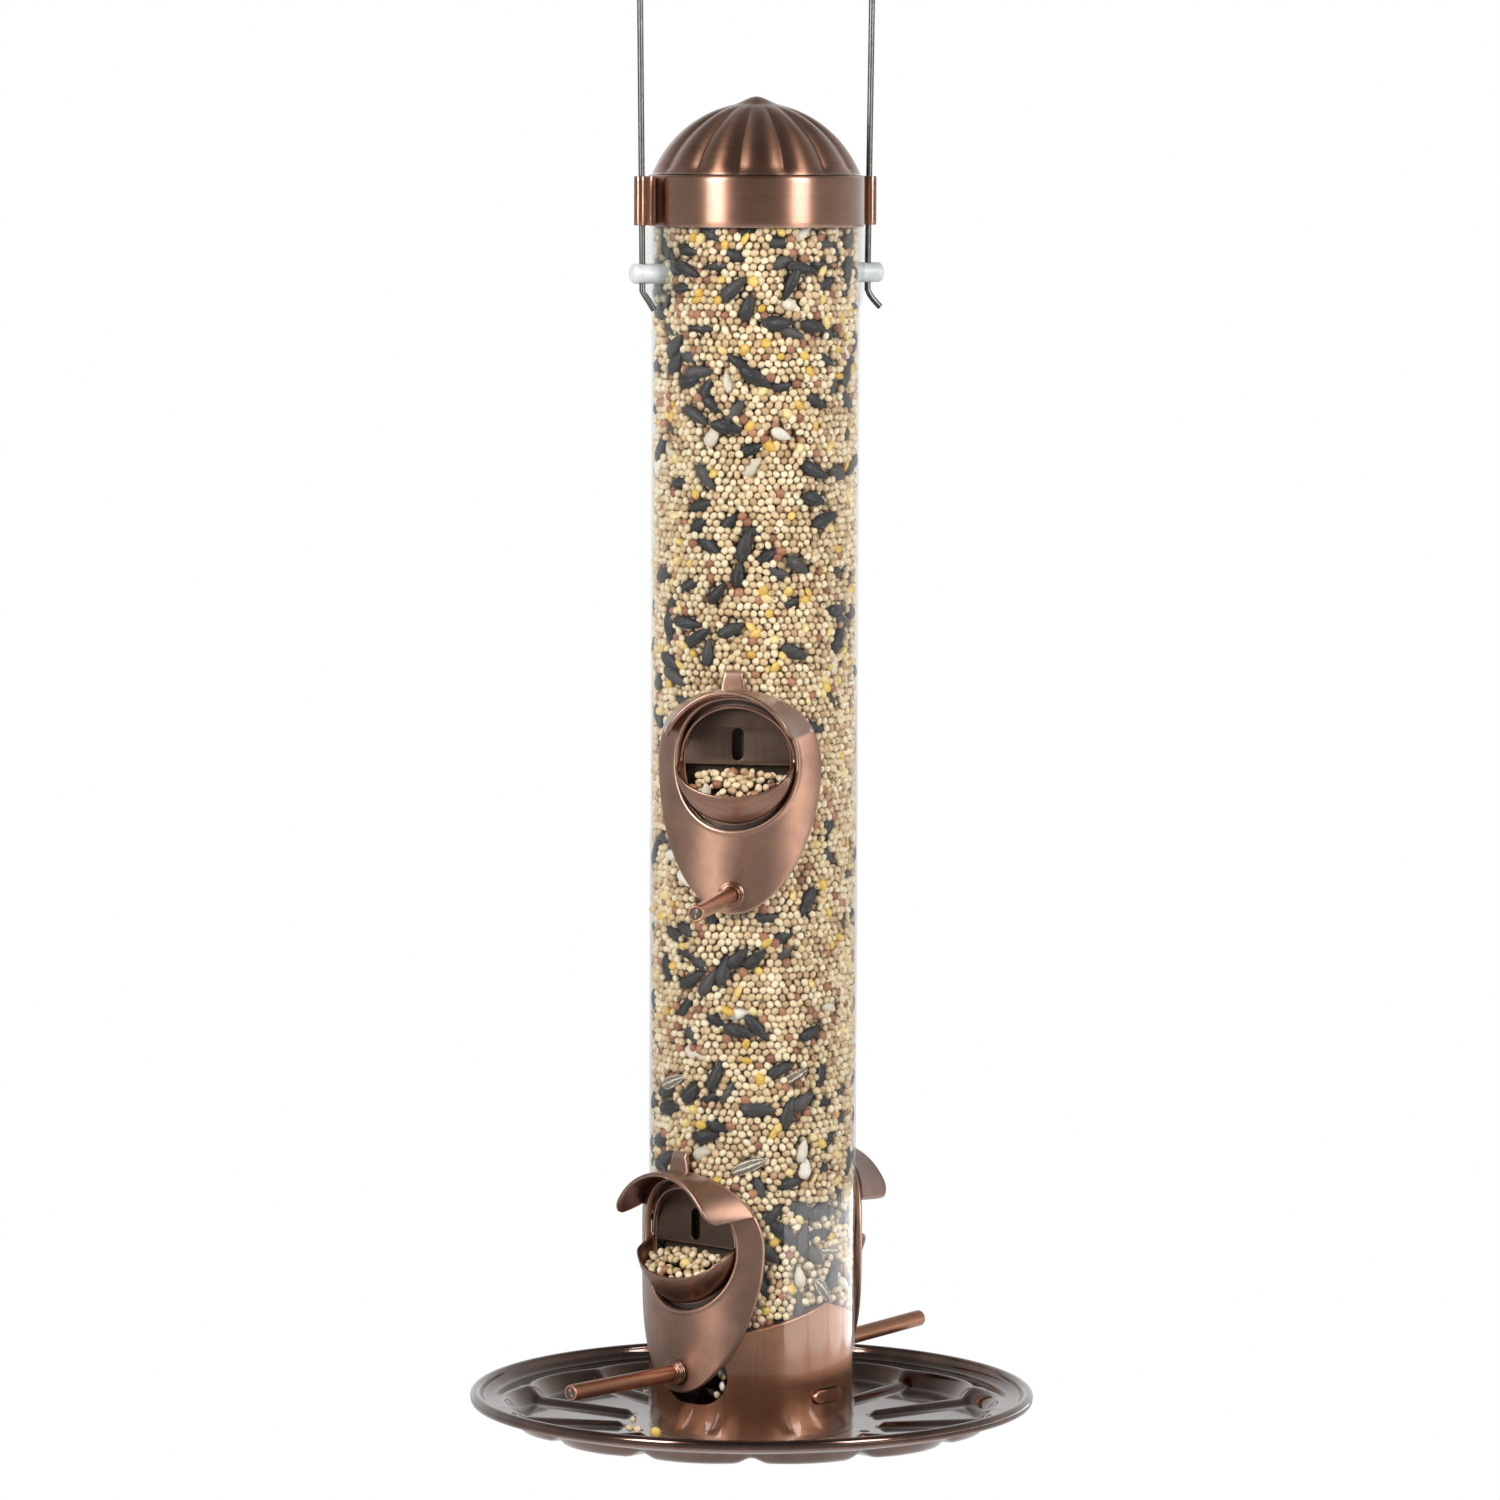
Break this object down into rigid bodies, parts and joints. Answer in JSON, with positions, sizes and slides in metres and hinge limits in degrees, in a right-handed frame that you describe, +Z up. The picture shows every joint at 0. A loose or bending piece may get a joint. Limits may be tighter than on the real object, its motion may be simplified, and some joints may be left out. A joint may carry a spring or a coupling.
{
  "type": "hanging bird feeder",
  "caption": "Hanging tube bird feeder: clear seed tube, fluted copper cap on a wire bail, hooded feeding ports with perches and a round seed-catching tray.",
  "frame": {"origin": "the point the feeder hangs from: the inside of the top of the wire bail", "axes": "+Z up along the seed tube; +X along the hanger rod that carries the bail"},
  "size_m": [0.1804, 0.1804, 0.5306],
  "materials": {
    "antique_copper": "brushed antique copper with dark recesses",
    "tray_copper": "glossy dark antique copper",
    "clear_plastic": "clear polished polycarbonate",
    "white_nylon": "translucent white nylon",
    "wire_steel": "drawn grey steel wire",
    "zinc_steel": "zinc plated steel",
    "mixed_seed": "mixed wild bird seed"
  },
  "bodies": {
    "feeder": {"tube": "clear_plastic", "hanger_patch_left": "clear_plastic", "hanger_patch_right": "clear_plastic", "hanger_rod": "white_nylon", "bail_wire": "wire_steel", "seed_fill": "mixed_seed", "base_plug": "antique_copper", "tray": "tray_copper", "tray_screw": "zinc_steel", "tray_washer": "zinc_steel", "mid_front_shield": "antique_copper", "mid_front_cup": "antique_copper", "mid_front_perch": "antique_copper", "mid_front_perch_collar": "antique_copper", "mid_front_perch_nut": "zinc_steel", "mid_rear_shield": "antique_copper", "mid_rear_cup": "antique_copper", "mid_rear_perch": "antique_copper", "mid_rear_perch_collar": "antique_copper", "mid_rear_perch_nut": "zinc_steel", "lower_front_shield": "antique_copper", "lower_front_cup": "antique_copper", "lower_front_perch": "antique_copper", "lower_front_perch_collar": "antique_copper", "lower_front_perch_nut": "zinc_steel", "lower_rear_shield": "antique_copper", "lower_rear_cup": "antique_copper", "lower_rear_perch": "antique_copper", "lower_rear_perch_collar": "antique_copper", "lower_rear_perch_nut": "zinc_steel"},
    "cap": {"cap_dome": "antique_copper", "cap_band": "antique_copper", "cap_guide_left": "antique_copper", "cap_guide_right": "antique_copper"},
    "catch_right": {"base_catch_right": "antique_copper"},
    "catch_left": {"base_catch_left": "antique_copper"}
  },
  "joints": [
    {"name": "cap_lift", "type": "slide", "parent": "feeder", "child": "cap", "axis": [0, 0, 1], "range_m": [0, 0.085]},
    {"name": "catch_right_press", "type": "hinge", "parent": "feeder", "child": "catch_right", "pos_m": [0.01196, -0.02686, -0.49739], "axis": [0.9135, 0.4067, 0], "range_deg": [0, 7], "stiffness_Nm_per_rad": 0.2},
    {"name": "catch_left_press", "type": "hinge", "parent": "feeder", "child": "catch_left", "pos_m": [-0.01196, 0.02686, -0.49739], "axis": [-0.9135, -0.4067, 0], "range_deg": [0, 7], "stiffness_Nm_per_rad": 0.2}
  ]
}
